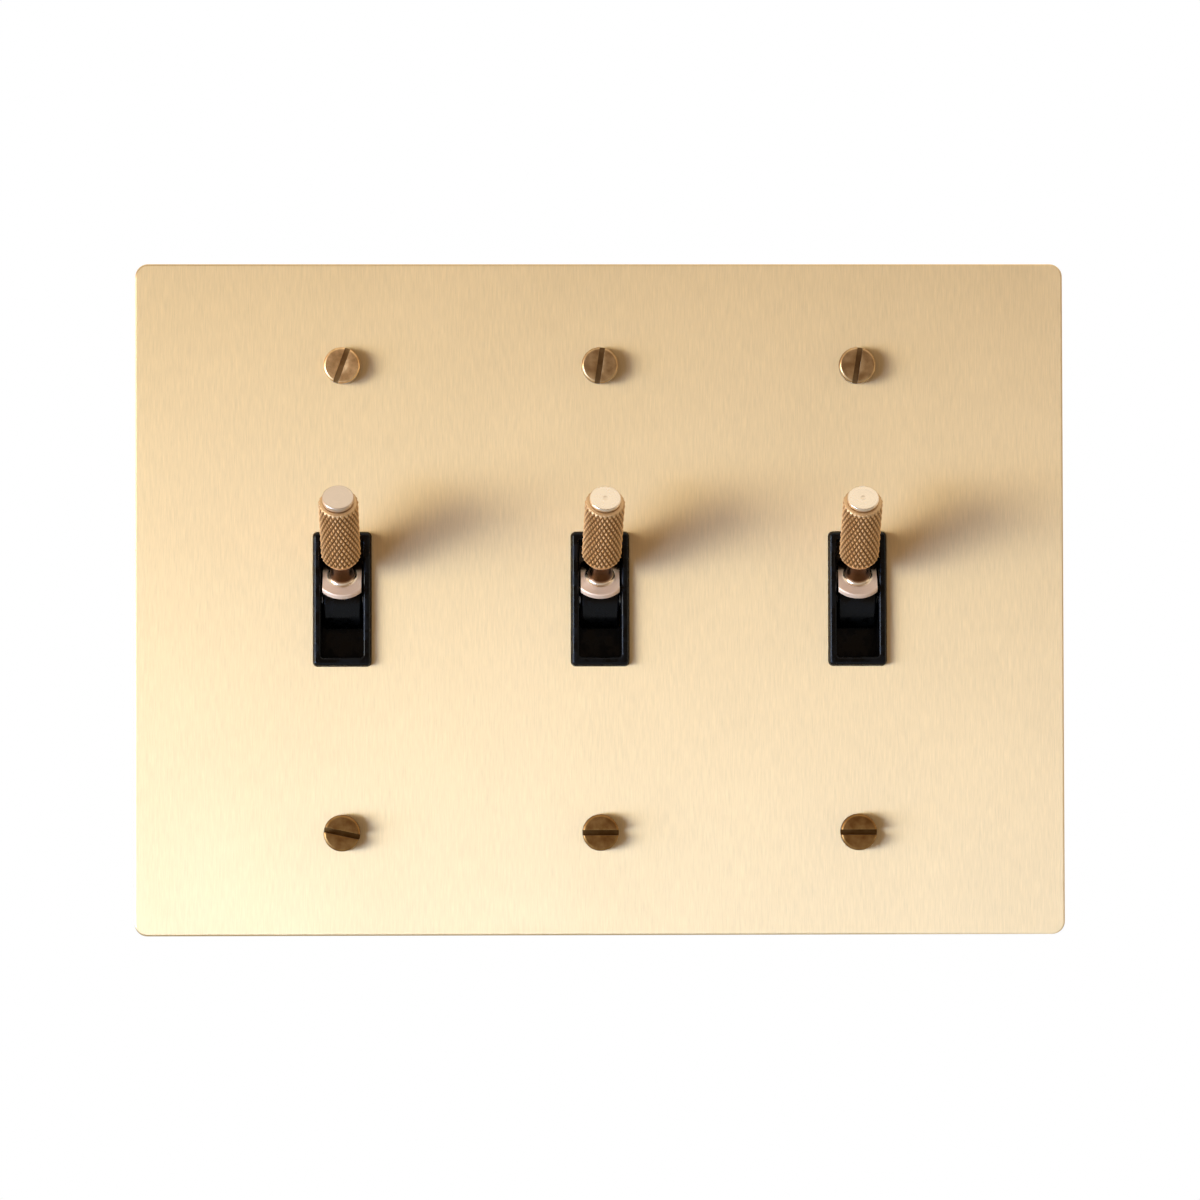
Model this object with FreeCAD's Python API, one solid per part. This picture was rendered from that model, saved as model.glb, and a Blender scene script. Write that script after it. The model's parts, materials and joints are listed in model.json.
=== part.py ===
import FreeCAD, Part
import math
import os

# A three-gang brass wall plate with three dolly switches, each a tilting lever with a knurled grip.
# Frame: +X to the right, +Y into the wall, +Z up; y = 0 is the wall, the front faces -Y.
# All sizes are in millimetres. The levers are at rest in the up position.

# Face plate
PLATE_WIDTH = 166.0
PLATE_HEIGHT = 120.0
PLATE_THICKNESS = 3.5
PLATE_CORNER_RADIUS = 2.3
PLATE_EDGE_RADIUS = 0.35
POCKET_DEPTH = 1.8
POCKET_END_MARGIN = 4.0
POCKET_SIDE_GAP = 5.0
POCKET_CORNER_RADIUS = 3.0
OPENING_CLEARANCE = 0.15
SCREW_HOLE_RADIUS = 2.0

# Gangs: the distance between levers and between the two box screws of a gang
GANG_NAMES = ("left", "middle", "right")
GANG_PITCH = 46.04
BOX_SCREW_SPACING = 83.34

# Box screws; the slot angles are turned from upright, towards the right at the top
SCREW_THREAD_RADIUS = 1.75
SCREW_NECK_RADIUS = 1.5
SCREW_LENGTH = 25.5
SCREW_THREAD_GAP = 0.1
SCREW_HEAD_RADIUS = 3.25
SCREW_HEAD_HEIGHT = 2.2
SCREW_HEAD_EDGE = 0.5
SCREW_SLOT_WIDTH = 0.95
SCREW_SLOT_DEPTH = 1.1
SCREW_TIP_CHAMFER = 0.6
TOP_SLOT_ANGLES = {"left": 20.0, "middle": 8.5, "right": 9.0}
BOTTOM_SLOT_ANGLES = {"left": 102.0, "middle": 90.0, "right": 90.0}

# Strap, the steel yoke that carries each switch
STRAP_THICKNESS = 1.5
STRAP_END_GAP = 3.5
STRAP_EAR_WIDTH = 30.0
STRAP_EAR_LENGTH = 16.0
STRAP_WAIST_WIDTH = 24.0
STRAP_CORNER_RADIUS = 2.0
STRAP_SLOT_LENGTH = 6.4
STRAP_OPENING_CLEARANCE = 0.2

# Moulded cover with the bezel that shows in the plate's opening
BEZEL_WIDTH = 10.2
BEZEL_HEIGHT = 23.8
BEZEL_PROUD = 1.3
BEZEL_CORNER_RADIUS = 0.75
BEZEL_EDGE_RADIUS = 0.6
SLOT_WIDTH = 7.5
SLOT_HEIGHT = 20.8
SLOT_CORNER_RADIUS = 0.5
SLOT_EDGE_RADIUS = 0.45
COVER_THICKNESS = 5.0
BODY_WIDTH = 22.0
BODY_HEIGHT = 60.0
BODY_CORNER_RADIUS = 1.5

# Housing behind the cover
HOUSING_DEPTH = 22.3
HOUSING_WALL = 2.0
HOUSING_FLOOR = 2.2
HOUSING_END = 6.0
RIVET_RADIUS = 1.25
RIVET_INSET = 3.0
RIVET_HEAD_RADIUS = 2.1
RIVET_HEAD_HEIGHT = 0.85

# Lever: places along it are measured from its pivot. Above the collar it leans a little to the right.
LEVER_TILT = 38.0
LEVER_LEAN = {"left": 0.0, "middle": 1.8, "right": -0.7}
PIVOT_DEPTH = 1.5
PIN_RADIUS = 1.0
PIN_CLEARANCE = 0.04
PIN_INSET = 0.2
DRUM_RADIUS = 5.3
DRUM_EDGE_RADIUS = 0.5
LEVER_SIDE_CLEARANCE = 0.3
BOSS_RADIUS = 3.0
COLLAR_START = 5.63
COLLAR_THICKNESS = 1.17
COLLAR_RADIUS = 4.6
COLLAR_CHAMFER = 0.18
SPIGOT_START = 2.0
STEM_BORE_RADIUS = 1.6
NECK_BASE_RADIUS = 2.45
NECK_WAIST_RADIUS = 2.2
NECK_TOP_RADIUS = 2.4
NECK_FILLET = 0.35
STEM_IN_GRIP = 8.0

# Knurled grip: rows and columns of pyramids between two plain turned ends
GRIP_START = 12.0
GRIP_LOW_CHAMFER = 0.4
GRIP_LOW_RADIUS = 3.1
KNURL_LENGTH = 14.0
KNURL_PEAK_RADIUS = 3.55
KNURL_DEPTH = 0.3
KNURL_COLUMN_COUNT = 26
KNURL_ROW_COUNT = 8
SHOULDER_HEIGHT = 0.6
SHOULDER_RADIUS = 2.8

# Cap screw on top of the grip; the left one is thicker and has no centre mark
CAP_RADIUS = 2.8
CAP_THICKNESS = {"left": 1.05, "middle": 0.8, "right": 0.8}
CAP_MARK_RADIUS = {"left": 0.0, "middle": 0.4, "right": 0.4}
CAP_MARK_DEPTH = 0.3
CAP_EDGE_RADIUS = 0.25
CAP_GROOVE = 0.2
CAP_GROOVE_RADIUS = 2.2
CAP_SHANK_LENGTH = 6.0

# Snap mechanism: a coil spring between a ball on the lever and a ball on the rocker
SPRING_WELL_WIDTH = 4.4
SPRING_WELL_START = 2.6
BALL_RADIUS = 1.5
BALL_POST_RADIUS = 0.9
LEVER_BALL_REACH = 4.2
SPRING_WIRE_RADIUS = 0.25
SPRING_COIL_RADIUS = 1.45
SPRING_TURN_COUNT = 5
SPRING_POINT_COUNT = 16
SPRING_SEAT_GAP = 0.03
LUG_REACH = 8.0
LUG_WIDTH = 3.0
STOP_GAP = 0.3
STOP_DEPTH = 2.7
STOP_SEAT_END = 3.1
STOP_SEAT_SIDES = 1.5
ROCKER_PIVOT_DEPTH = 16.5
ROCKER_TILT = 12.0
ROCKER_HUB_RADIUS = 2.6
ROCKER_HUB_HALF_WIDTH = 4.3
ROCKER_BALL_REACH = 3.6
ROCKER_BAR_HALF_WIDTH = 3.0
ROCKER_BAR_FRONT = 0.8
ROCKER_BAR_THICKNESS = 1.6
ROCKER_BAR_UP = 13.0
ROCKER_BAR_DOWN = 11.0
BRIDGE_HALF_WIDTH = 2.5
BRIDGE_THICKNESS = 0.8
BRIDGE_INSET = 0.5
CONTACT_HEIGHT = 10.5
CONTACT_RADIUS = 1.8
CONTACT_THICKNESS = 0.8
CONTACT_DOME_RADIUS = 3.0
CONTACT_GAP = 0.15

# Terminals, with their legs in windows of the housing's right side
TERMINAL_THICKNESS = 1.2
TERMINAL_WIDTH = 7.5
TERMINAL_NEAR = 6.0
TERMINAL_LEG_FRONT = 12.0
TERMINAL_PAD_HALF_WIDTH = 3.2
CRADLE_TOP = 3.0
CRADLE_GAP = 0.3
CRADLE_HALF_WIDTH = 2.0
TERMINAL_SCREW_DEPTH = 17.6
TERMINAL_SCREW_RADIUS = 1.5
TERMINAL_SCREW_HEAD_RADIUS = 2.9
TERMINAL_SCREW_HEAD_HEIGHT = 1.8
TERMINAL_SCREW_REACH = 3.4
TERMINAL_SLOT_WIDTH = 0.8
TERMINAL_SLOT_DEPTH = 0.8

# Earth screws on the straps
EARTH_SCREW_SIDE_INSET = 5.5
EARTH_SCREW_END_INSET = 7.5
EARTH_SCREW_RADIUS = 1.6
EARTH_HEAD_RADIUS = 3.0
EARTH_HEAD_HEIGHT = 1.8

# Planes and places that follow from the sizes above
PLATE_FRONT = -PLATE_THICKNESS
STRAP_FRONT = -POCKET_DEPTH
STRAP_BACK = STRAP_FRONT + STRAP_THICKNESS
POCKET_HEIGHT = PLATE_HEIGHT - 2 * POCKET_END_MARGIN
POCKET_WIDTH = (len(GANG_NAMES) - 1) * GANG_PITCH + STRAP_EAR_WIDTH + 2 * POCKET_SIDE_GAP
STRAP_LENGTH = POCKET_HEIGHT - 2 * STRAP_END_GAP
EARTH_SCREW_OFFSET = STRAP_EAR_WIDTH / 2 - EARTH_SCREW_SIDE_INSET
EARTH_SCREW_DROP = STRAP_LENGTH / 2 - EARTH_SCREW_END_INSET
BEZEL_FRONT = PLATE_FRONT - BEZEL_PROUD
COVER_BACK = STRAP_BACK + COVER_THICKNESS
HOUSING_BACK = COVER_BACK + HOUSING_DEPTH
HOUSING_INNER_BACK = HOUSING_BACK - HOUSING_FLOOR
TERMINAL_FACE = HOUSING_INNER_BACK - TERMINAL_THICKNESS
CAVITY_HALF_WIDTH = BODY_WIDTH / 2 - HOUSING_WALL
CAVITY_HALF_HEIGHT = BODY_HEIGHT / 2 - HOUSING_END
RIVET_HEIGHT = BODY_HEIGHT / 2 - RIVET_INSET
LEVER_HALF_WIDTH = SLOT_WIDTH / 2 - LEVER_SIDE_CLEARANCE
COLLAR_END = COLLAR_START + COLLAR_THICKNESS
KNURL_START = GRIP_START + GRIP_LOW_CHAMFER
KNURL_END = KNURL_START + KNURL_LENGTH
KNURL_VALLEY_RADIUS = KNURL_PEAK_RADIUS - KNURL_DEPTH
GRIP_END = KNURL_END + SHOULDER_HEIGHT
BRIDGE_FRONT = ROCKER_BAR_FRONT + ROCKER_BAR_THICKNESS
CONTACT_FACE = BRIDGE_FRONT + BRIDGE_THICKNESS + CONTACT_THICKNESS
LEG_BACK = CAVITY_HALF_WIDTH + TERMINAL_THICKNESS
TERMINAL_SCREW_HEIGHT = TERMINAL_NEAR + TERMINAL_WIDTH / 2

X_AXIS = FreeCAD.Vector(1, 0, 0)
Y_AXIS = FreeCAD.Vector(0, 1, 0)
Z_AXIS = FreeCAD.Vector(0, 0, 1)


def gang_x(name):
    """The place of a gang's centre line along the plate."""
    return (GANG_NAMES.index(name) - (len(GANG_NAMES) - 1) / 2) * GANG_PITCH


def box(x0, x1, y0, y1, z0, z1):
    return Part.makeBox(x1 - x0, y1 - y0, z1 - z0, FreeCAD.Vector(x0, y0, z0))


def rod(radius, start, direction, length):
    return Part.makeCylinder(radius, length, start, direction)


def moved(shape, x, y=0.0, z=0.0):
    copy = shape.copy()
    copy.translate(FreeCAD.Vector(x, y, z))
    return copy


def rounded_block(width, height, y0, y1, corner):
    """A block centred on x = 0 and z = 0 with rounded corners as seen from the front."""
    block = box(-width / 2, width / 2, y0, y1, -height / 2, height / 2)
    uprights = [e for e in block.Edges if abs(e.BoundBox.YLength - (y1 - y0)) < 1e-6]
    return block.makeFillet(corner, uprights)


def ease_front(shape, y_front, radius, within=math.inf):
    """Rounds the edges in the front plane of a block, or only those of a slot of the height within."""
    front = [e for e in shape.Edges if abs(e.BoundBox.YMin - y_front) < 1e-6 and e.BoundBox.YLength < 1e-6]
    front = [e for e in front if max(abs(e.BoundBox.ZMin), abs(e.BoundBox.ZMax)) < within / 2 + 1e-6]
    return shape.makeFillet(radius, front)


def turned(profile):
    """A solid of revolution about Z from (radius, height) points that start and end on the axis."""
    points = [FreeCAD.Vector(r, 0, h) for r, h in profile]
    face = Part.Face(Part.makePolygon(points + points[:1]))
    return face.revolve(FreeCAD.Vector(0, 0, 0), Z_AXIS, 360)


def in_wall(shape, x, y, z):
    """Turns a shape made along +Z so that it points into the wall, and moves it into place."""
    copy = shape.copy()
    copy.rotate(FreeCAD.Vector(0, 0, 0), X_AXIS, -90)
    return moved(copy, x, y, z)


def on_lever(shape, name):
    """Places a shape whose +Z is the lever's axis and whose origin is the lever's pivot."""
    copy = shape.copy()
    copy.rotate(FreeCAD.Vector(0, 0, 0), X_AXIS, 90 - LEVER_TILT)
    return moved(copy, gang_x(name), PIVOT_DEPTH)


def leaned(shape, name):
    """Leans a shape made along the lever to the side, about the middle of the collar's top."""
    copy = shape.copy()
    copy.rotate(FreeCAD.Vector(0, 0, COLLAR_END), Y_AXIS, LEVER_LEAN[name])
    return copy


def on_rocker(shape, name):
    """Places a shape made about the rocker's pivot, with the rocker in its rest position."""
    copy = shape.copy()
    copy.rotate(FreeCAD.Vector(0, 0, 0), X_AXIS, -ROCKER_TILT)
    return moved(copy, gang_x(name), ROCKER_PIVOT_DEPTH)


def box_screw_places():
    places = []
    for name in GANG_NAMES:
        places.append((gang_x(name), BOX_SCREW_SPACING / 2, TOP_SLOT_ANGLES[name]))
        places.append((gang_x(name), -BOX_SCREW_SPACING / 2, BOTTOM_SLOT_ANGLES[name]))
    return places


def face_plate():
    plate = rounded_block(PLATE_WIDTH, PLATE_HEIGHT, PLATE_FRONT, 0, PLATE_CORNER_RADIUS)
    plate = ease_front(plate, PLATE_FRONT, PLATE_EDGE_RADIUS)
    pocket = rounded_block(POCKET_WIDTH, POCKET_HEIGHT, -POCKET_DEPTH, 0, POCKET_CORNER_RADIUS)
    plate = plate.cut(pocket)
    opening = rounded_block(
        BEZEL_WIDTH + 2 * OPENING_CLEARANCE,
        BEZEL_HEIGHT + 2 * OPENING_CLEARANCE,
        PLATE_FRONT,
        0,
        BEZEL_CORNER_RADIUS + OPENING_CLEARANCE,
    )
    for name in GANG_NAMES:
        plate = plate.cut(moved(opening, gang_x(name)))
    for x, z, _ in box_screw_places():
        hole = rod(SCREW_HOLE_RADIUS, FreeCAD.Vector(x, PLATE_FRONT, z), Y_AXIS, PLATE_THICKNESS)
        plate = plate.cut(hole)
    return plate


def box_screw(slot_angle):
    """One slotted screw along +Z, with the underside of its head at z = 0 and its slot near upright."""
    head = Part.makeCylinder(SCREW_HEAD_RADIUS, SCREW_HEAD_HEIGHT, FreeCAD.Vector(0, 0, -SCREW_HEAD_HEIGHT))
    rim = [e for e in head.Edges if e.BoundBox.ZMax < -SCREW_HEAD_HEIGHT + 1e-6]
    head = head.makeFillet(SCREW_HEAD_EDGE, rim)
    reach = 2 * SCREW_HEAD_RADIUS
    slot = Part.makeBox(
        SCREW_SLOT_WIDTH,
        2 * reach,
        SCREW_SLOT_DEPTH,
        FreeCAD.Vector(-SCREW_SLOT_WIDTH / 2, -reach, -SCREW_HEAD_HEIGHT),
    )
    slot.rotate(FreeCAD.Vector(0, 0, 0), Z_AXIS, slot_angle)
    thread_start = STRAP_BACK + SCREW_THREAD_GAP - PLATE_FRONT
    shank = turned([
        (0, 0),
        (SCREW_NECK_RADIUS, 0),
        (SCREW_NECK_RADIUS, thread_start),
        (SCREW_THREAD_RADIUS, thread_start),
        (SCREW_THREAD_RADIUS, SCREW_LENGTH - SCREW_TIP_CHAMFER),
        (SCREW_THREAD_RADIUS - SCREW_TIP_CHAMFER, SCREW_LENGTH),
        (0, SCREW_LENGTH),
    ])
    return head.cut(slot).fuse(shank).removeSplitter()


def plate_screws():
    return [in_wall(box_screw(-angle), x, PLATE_FRONT, z) for x, z, angle in box_screw_places()]


def rivet(x, z):
    """A rivet sunk flush into the strap's front, headed over on the housing's back."""
    length = HOUSING_BACK - STRAP_FRONT
    shank = turned([
        (0, 0),
        (RIVET_HEAD_RADIUS, 0),
        (RIVET_RADIUS, RIVET_HEAD_HEIGHT),
        (RIVET_RADIUS, length),
        (RIVET_HEAD_RADIUS, length),
        (RIVET_RADIUS, length + RIVET_HEAD_HEIGHT),
        (0, length + RIVET_HEAD_HEIGHT),
    ])
    return in_wall(shank, x, STRAP_FRONT, z)


def gang_rivets(name):
    return [rivet(gang_x(name), side * RIVET_HEIGHT) for side in (1, -1)]


def body_rivets():
    return [r for name in GANG_NAMES for r in gang_rivets(name)]


def earth_screw(name):
    """A pan-headed screw in the strap's lower ear, with its head on the back."""
    screw = turned([
        (0, 0),
        (EARTH_SCREW_RADIUS, 0),
        (EARTH_SCREW_RADIUS, STRAP_THICKNESS),
        (EARTH_HEAD_RADIUS, STRAP_THICKNESS),
        (EARTH_HEAD_RADIUS, STRAP_THICKNESS + EARTH_HEAD_HEIGHT),
        (0, STRAP_THICKNESS + EARTH_HEAD_HEIGHT),
    ])
    top = STRAP_THICKNESS + EARTH_HEAD_HEIGHT
    reach = 2 * EARTH_HEAD_RADIUS
    slot = Part.makeBox(
        TERMINAL_SLOT_WIDTH,
        2 * reach,
        TERMINAL_SLOT_DEPTH,
        FreeCAD.Vector(-TERMINAL_SLOT_WIDTH / 2, -reach, top - TERMINAL_SLOT_DEPTH),
    )
    return in_wall(screw.cut(slot), gang_x(name) + EARTH_SCREW_OFFSET, STRAP_FRONT, -EARTH_SCREW_DROP)


def earth_screws():
    return [earth_screw(name) for name in GANG_NAMES]


def strap(name):
    waist = rounded_block(STRAP_WAIST_WIDTH, STRAP_LENGTH, STRAP_FRONT, STRAP_BACK, STRAP_CORNER_RADIUS)
    shape = waist
    for side in (1, -1):
        ear = rounded_block(STRAP_EAR_WIDTH, STRAP_EAR_LENGTH, STRAP_FRONT, STRAP_BACK, STRAP_CORNER_RADIUS)
        shape = shape.fuse(moved(ear, 0, 0, side * (STRAP_LENGTH - STRAP_EAR_LENGTH) / 2))
    shape = shape.removeSplitter()
    opening = rounded_block(
        BEZEL_WIDTH + 2 * STRAP_OPENING_CLEARANCE,
        BEZEL_HEIGHT + 2 * STRAP_OPENING_CLEARANCE,
        STRAP_FRONT,
        STRAP_BACK,
        BEZEL_CORNER_RADIUS + STRAP_OPENING_CLEARANCE,
    )
    shape = shape.cut(opening)
    slot = rounded_block(
        STRAP_SLOT_LENGTH,
        2 * SCREW_HOLE_RADIUS,
        STRAP_FRONT,
        STRAP_BACK,
        SCREW_HOLE_RADIUS - 0.001,
    )
    for side in (1, -1):
        shape = shape.cut(moved(slot, 0, 0, side * BOX_SCREW_SPACING / 2))
    shape = moved(shape, gang_x(name))
    for fastener in gang_rivets(name) + [earth_screw(name)]:
        shape = shape.cut(fastener)
    return shape


def stop_shelf():
    """The lower stop behind the slot. Its face is parallel to the lever's lug in the up position."""
    tilt = math.radians(LEVER_TILT)
    offset = LUG_WIDTH / 2 + STOP_GAP
    outline = []
    for depth in (COVER_BACK, COVER_BACK + STOP_DEPTH):
        along = (depth - PIVOT_DEPTH + offset * math.sin(tilt)) / math.cos(tilt)
        outline.append((depth, -along * math.sin(tilt) - offset * math.cos(tilt)))
    foot = -SLOT_HEIGHT / 2 - STOP_SEAT_END
    outline.append((COVER_BACK + STOP_DEPTH, foot))
    outline.append((COVER_BACK, foot))
    half = SLOT_WIDTH / 2 + STOP_SEAT_SIDES
    points = [FreeCAD.Vector(-half, y, z) for y, z in outline]
    return Part.Face(Part.makePolygon(points + points[:1])).extrude(X_AXIS * (2 * half))


def cover(name):
    flange = rounded_block(BODY_WIDTH, BODY_HEIGHT, STRAP_BACK, COVER_BACK, BODY_CORNER_RADIUS)
    bezel = rounded_block(BEZEL_WIDTH, BEZEL_HEIGHT, BEZEL_FRONT, STRAP_BACK, BEZEL_CORNER_RADIUS)
    bezel = ease_front(bezel, BEZEL_FRONT, BEZEL_EDGE_RADIUS)
    slot = rounded_block(SLOT_WIDTH, SLOT_HEIGHT, BEZEL_FRONT, COVER_BACK, SLOT_CORNER_RADIUS)
    bezel = ease_front(bezel.cut(slot), BEZEL_FRONT, SLOT_EDGE_RADIUS, SLOT_HEIGHT)
    shelf = stop_shelf()
    upper_shelf = shelf.mirror(FreeCAD.Vector(0, 0, 0), Z_AXIS)
    pin_hole = rod(PIN_RADIUS, FreeCAD.Vector(-BODY_WIDTH / 2, PIVOT_DEPTH, 0), X_AXIS, BODY_WIDTH)
    shape = flange.cut(slot).fuse(bezel).cut(pin_hole).fuse(shelf).fuse(upper_shelf).removeSplitter()
    shape = moved(shape, gang_x(name))
    for fastener in gang_rivets(name):
        shape = shape.cut(fastener)
    return shape


def terminal_window(side):
    """The part of the housing's right wall that a terminal's leg fills, above or below the middle."""
    low = min(side * TERMINAL_NEAR, side * (TERMINAL_NEAR + TERMINAL_WIDTH))
    return box(
        CAVITY_HALF_WIDTH,
        BODY_WIDTH / 2,
        TERMINAL_LEG_FRONT,
        HOUSING_INNER_BACK,
        low,
        low + TERMINAL_WIDTH,
    )


def housing(name):
    shape = rounded_block(BODY_WIDTH, BODY_HEIGHT, COVER_BACK, HOUSING_BACK, BODY_CORNER_RADIUS)
    cavity = box(
        -CAVITY_HALF_WIDTH,
        CAVITY_HALF_WIDTH,
        COVER_BACK,
        HOUSING_INNER_BACK,
        -CAVITY_HALF_HEIGHT,
        CAVITY_HALF_HEIGHT,
    )
    shape = shape.cut(cavity)
    for side in (1, -1):
        shape = shape.cut(terminal_window(side))
    shape = moved(shape, gang_x(name))
    for fastener in gang_rivets(name):
        shape = shape.cut(fastener)
    return shape


def pivot_pin(name):
    half = BODY_WIDTH / 2 - PIN_INSET
    return rod(PIN_RADIUS, FreeCAD.Vector(gang_x(name) - half, PIVOT_DEPTH, 0), X_AXIS, 2 * half)


def carrier(name):
    """The moulded drum that turns on the pivot pin, with two cheeks round the spring."""
    half = LEVER_HALF_WIDTH
    drum = rod(DRUM_RADIUS, FreeCAD.Vector(-half, 0, 0), X_AXIS, 2 * half)
    drum = drum.makeFillet(DRUM_EDGE_RADIUS, [e for e in drum.Edges if e.BoundBox.XLength < 1e-6])
    boss = rod(BOSS_RADIUS, FreeCAD.Vector(0, 0, 0), Z_AXIS, COLLAR_START)
    lugs = box(-half, half, -LUG_WIDTH / 2, LUG_WIDTH / 2, -LUG_REACH, 0)
    well = box(
        -SPRING_WELL_WIDTH / 2,
        SPRING_WELL_WIDTH / 2,
        -LUG_REACH,
        LUG_REACH,
        -LUG_REACH,
        -SPRING_WELL_START,
    )
    post = rod(BALL_POST_RADIUS, FreeCAD.Vector(0, 0, -LEVER_BALL_REACH), Z_AXIS, LEVER_BALL_REACH)
    ball = Part.makeSphere(BALL_RADIUS, FreeCAD.Vector(0, 0, -LEVER_BALL_REACH))
    bore = rod(PIN_RADIUS + PIN_CLEARANCE, FreeCAD.Vector(-half, 0, 0), X_AXIS, 2 * half)
    socket = rod(
        STEM_BORE_RADIUS,
        FreeCAD.Vector(0, 0, SPIGOT_START),
        Z_AXIS,
        COLLAR_START - SPIGOT_START,
    )
    shape = drum.fuse(boss).fuse(lugs).cut(well).fuse(post).fuse(ball).cut(bore).cut(socket)
    return on_lever(shape.removeSplitter(), name)


def lever_stem(name):
    """The turned stem: a spigot in the carrier, a collar with two flats, a waisted neck and a rod."""
    collar = turned([
        (0, SPIGOT_START),
        (STEM_BORE_RADIUS, SPIGOT_START),
        (STEM_BORE_RADIUS, COLLAR_START),
        (COLLAR_RADIUS - COLLAR_CHAMFER, COLLAR_START),
        (COLLAR_RADIUS, COLLAR_START + COLLAR_CHAMFER),
        (COLLAR_RADIUS, COLLAR_END - COLLAR_CHAMFER),
        (COLLAR_RADIUS - COLLAR_CHAMFER, COLLAR_END),
        (0, COLLAR_END),
    ])
    reach = 2 * COLLAR_RADIUS
    for side in (1, -1):
        near = side * LEVER_HALF_WIDTH
        far = side * reach
        flat = box(min(near, far), max(near, far), -reach, reach, COLLAR_START, COLLAR_END)
        collar = collar.cut(flat)
    waist = (COLLAR_END + GRIP_START) / 2
    neck = turned([
        (0, COLLAR_END - NECK_FILLET),
        (NECK_BASE_RADIUS + NECK_FILLET, COLLAR_END - NECK_FILLET),
        (NECK_BASE_RADIUS + NECK_FILLET, COLLAR_END),
        (NECK_BASE_RADIUS, COLLAR_END + NECK_FILLET),
        (NECK_WAIST_RADIUS, waist),
        (NECK_TOP_RADIUS, GRIP_START),
        (STEM_BORE_RADIUS, GRIP_START),
        (STEM_BORE_RADIUS, GRIP_START + STEM_IN_GRIP),
        (0, GRIP_START + STEM_IN_GRIP),
    ])
    return on_lever(collar.fuse(leaned(neck, name)).removeSplitter(), name)


def ring_points(radius, height, offset=0.0):
    """The corners of a ring of the knurl's grid, two for each column."""
    step = math.pi / KNURL_COLUMN_COUNT
    return [
        FreeCAD.Vector(
            radius * math.cos((i + offset) * step),
            radius * math.sin((i + offset) * step),
            height,
        )
        for i in range(2 * KNURL_COLUMN_COUNT)
    ]


def knurl_rings():
    """Rings of the knurl from bottom to top; valleys and peaks alternate round each inner ring."""
    rings = []
    levels = 2 * KNURL_ROW_COUNT
    for level in range(levels + 1):
        height = KNURL_START + KNURL_LENGTH * level / levels
        ring = ring_points(KNURL_VALLEY_RADIUS, height)
        peaks = ring_points(KNURL_PEAK_RADIUS, height)
        if 0 < level < levels:
            ring = [peaks[i] if (i + level) % 2 else ring[i] for i in range(len(ring))]
        rings.append(ring)
    return rings


def facet(*corners):
    return Part.Face(Part.makePolygon(list(corners) + [corners[0]]))


def grip(name):
    """The knurled sleeve: four facets for each pyramid, plain cones at both ends, and a bore."""
    rings = knurl_rings()
    count = 2 * KNURL_COLUMN_COUNT
    faces = []
    for level in range(len(rings) - 1):
        low, high = rings[level], rings[level + 1]
        for i in range(count):
            j = (i + 1) % count
            if (i + level) % 2:
                faces += [facet(low[i], low[j], high[i]), facet(low[j], high[j], high[i])]
            else:
                faces += [facet(low[i], low[j], high[j]), facet(low[i], high[j], high[i])]
    bottom = ring_points(GRIP_LOW_RADIUS, GRIP_START)
    top = ring_points(SHOULDER_RADIUS, GRIP_END)
    for low, high in ((bottom, rings[0]), (rings[-1], top)):
        for i in range(count):
            j = (i + 1) % count
            faces.append(facet(low[i], low[j], high[j], high[i]))
    faces.append(facet(*bottom))
    faces.append(facet(*top))
    shell = Part.Shell(faces)
    shell.sewShape()
    solid = Part.Solid(Part.Shell(shell.Faces))
    if solid.Volume < 0:
        solid.reverse()
    bore = rod(STEM_BORE_RADIUS, FreeCAD.Vector(0, 0, GRIP_START), Z_AXIS, GRIP_END - GRIP_START)
    return on_lever(leaned(solid.cut(bore), name), name)


def lever_cap(name):
    """The cap screw: a thin round head over a groove, and a shank in the grip's bore."""
    base = GRIP_END + CAP_GROOVE
    head = rod(CAP_RADIUS, FreeCAD.Vector(0, 0, base), Z_AXIS, CAP_THICKNESS[name])
    rims = [e for e in head.Edges if e.BoundBox.ZLength < 1e-6]
    head = head.makeFillet(CAP_EDGE_RADIUS, rims)
    throat = rod(CAP_GROOVE_RADIUS, FreeCAD.Vector(0, 0, GRIP_END), Z_AXIS, CAP_GROOVE)
    shank_start = FreeCAD.Vector(0, 0, GRIP_END - CAP_SHANK_LENGTH)
    shank = rod(STEM_BORE_RADIUS, shank_start, Z_AXIS, CAP_SHANK_LENGTH)
    shape = head.fuse(throat).fuse(shank)
    if CAP_MARK_RADIUS[name] > 0:
        face = base + CAP_THICKNESS[name]
        mark = turned([(0, face - CAP_MARK_DEPTH), (CAP_MARK_RADIUS[name], face), (0, face)])
        shape = shape.cut(mark)
    return on_lever(leaned(shape.removeSplitter(), name), name)


def ball_centres():
    """The centres of the lever's ball and the rocker's ball at rest, as (depth, height)."""
    lever = math.radians(LEVER_TILT)
    rocker = math.radians(ROCKER_TILT)
    near = (PIVOT_DEPTH + LEVER_BALL_REACH * math.cos(lever), -LEVER_BALL_REACH * math.sin(lever))
    far = (ROCKER_PIVOT_DEPTH - ROCKER_BALL_REACH * math.cos(rocker), ROCKER_BALL_REACH * math.sin(rocker))
    return near, far


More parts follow.
